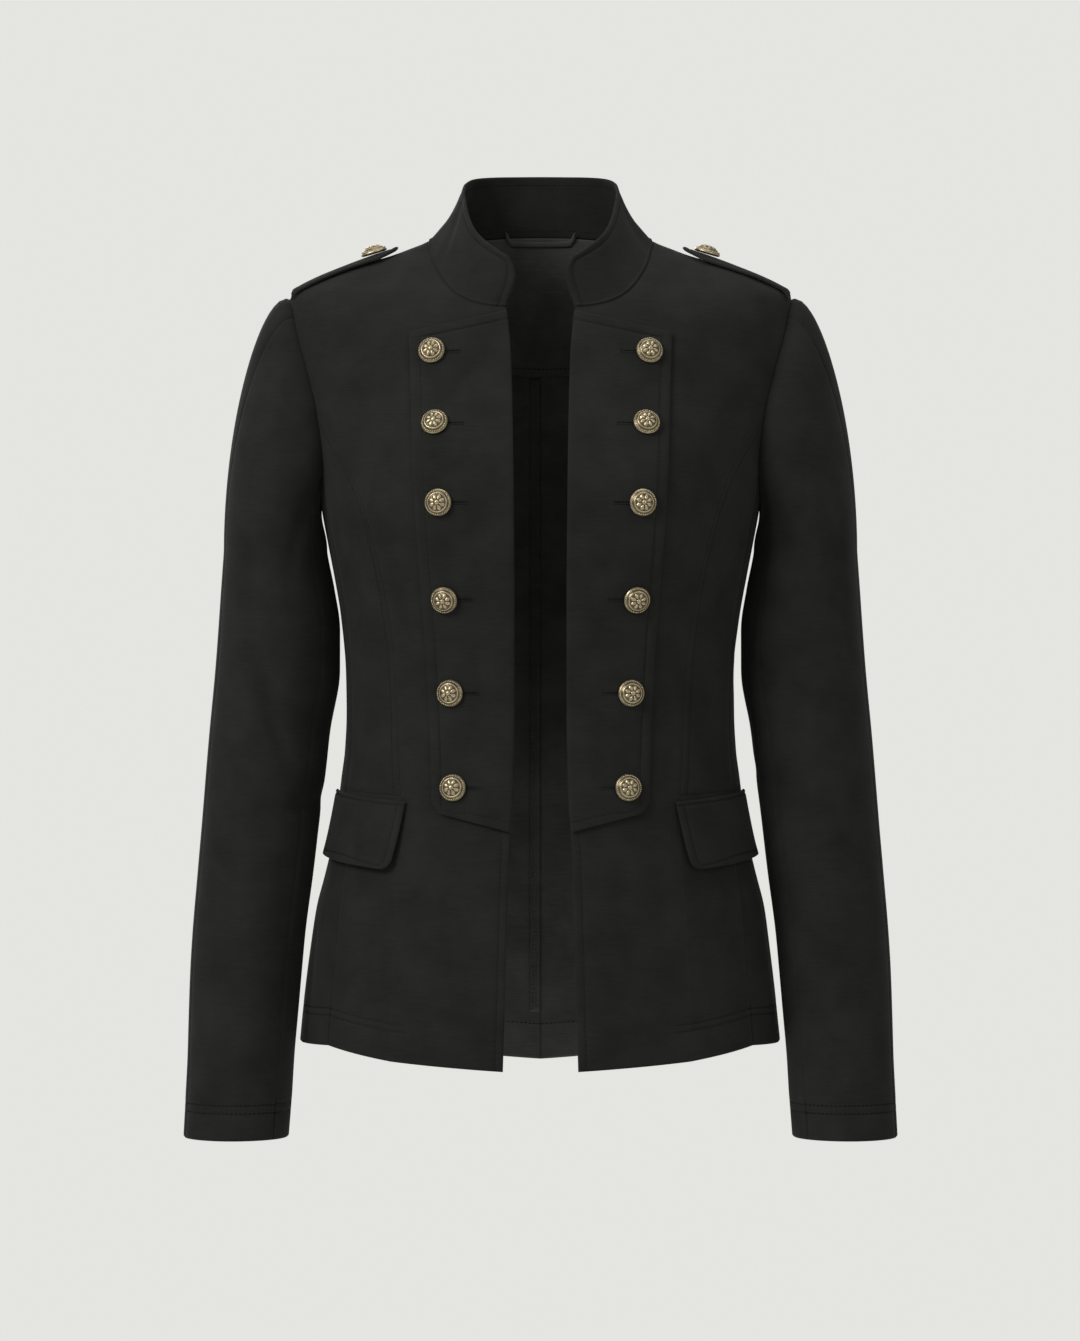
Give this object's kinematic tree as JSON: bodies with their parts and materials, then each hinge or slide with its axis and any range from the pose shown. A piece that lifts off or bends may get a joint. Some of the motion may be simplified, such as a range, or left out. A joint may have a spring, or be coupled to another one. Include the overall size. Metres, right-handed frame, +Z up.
{
  "type": "stand collar blazer",
  "caption": "Fitted hip-length blazer worn open, stand collar, buttoned front flaps, shoulder straps, pocket flaps and long two-piece sleeves",
  "frame": {"origin": "midway between the two side neck points, where the wearer's neck base carries the blazer", "axes": "+Z up along the body, -Y out of the front, +X toward the wearer's left"},
  "size_m": [0.532, 0.2715, 0.7257],
  "materials": {
    "front_left": "matte",
    "side_front_left": "matte",
    "side_left": "matte",
    "back_left": "matte",
    "sleeve_front_left": "matte",
    "sleeve_back_left": "matte",
    "plastron_left": "matte",
    "pocket_flap_left": "matte",
    "epaulette_left": "matte",
    "button_left_1": "aged",
    "button_left_2": "aged",
    "button_left_3": "aged",
    "button_left_4": "aged",
    "button_left_5": "aged",
    "button_left_6": "aged",
    "button_shoulder_left": "aged",
    "front_right": "matte",
    "side_front_right": "matte",
    "side_right": "matte",
    "back_right": "matte",
    "sleeve_front_right": "matte",
    "sleeve_back_right": "matte",
    "plastron_right": "matte",
    "pocket_flap_right": "matte",
    "epaulette_right": "matte",
    "button_right_1": "aged",
    "button_right_2": "aged",
    "button_right_3": "aged",
    "button_right_4": "aged",
    "button_right_5": "aged",
    "button_right_6": "aged",
    "button_shoulder_right": "aged",
    "collar": "matte",
    "back_neck_facing": "matte",
    "hanger_loop": "matte",
    "centre_back_allowance": "matte"
  },
  "bodies": {
    "root": {"front_left": "front_left", "side_front_left": "side_front_left", "side_left": "side_left", "back_left": "back_left", "sleeve_front_left": "sleeve_front_left", "sleeve_back_left": "sleeve_back_left", "plastron_left": "plastron_left", "pocket_flap_left": "pocket_flap_left", "epaulette_left": "epaulette_left", "button_left_1": "button_left_1", "button_left_2": "button_left_2", "button_left_3": "button_left_3", "button_left_4": "button_left_4", "button_left_5": "button_left_5", "button_left_6": "button_left_6", "button_shoulder_left": "button_shoulder_left", "front_right": "front_right", "side_front_right": "side_front_right", "side_right": "side_right", "back_right": "back_right", "sleeve_front_right": "sleeve_front_right", "sleeve_back_right": "sleeve_back_right", "plastron_right": "plastron_right", "pocket_flap_right": "pocket_flap_right", "epaulette_right": "epaulette_right", "button_right_1": "button_right_1", "button_right_2": "button_right_2", "button_right_3": "button_right_3", "button_right_4": "button_right_4", "button_right_5": "button_right_5", "button_right_6": "button_right_6", "button_shoulder_right": "button_shoulder_right", "collar": "collar", "back_neck_facing": "back_neck_facing", "hanger_loop": "hanger_loop", "centre_back_allowance": "centre_back_allowance"}
  },
  "joints": []
}
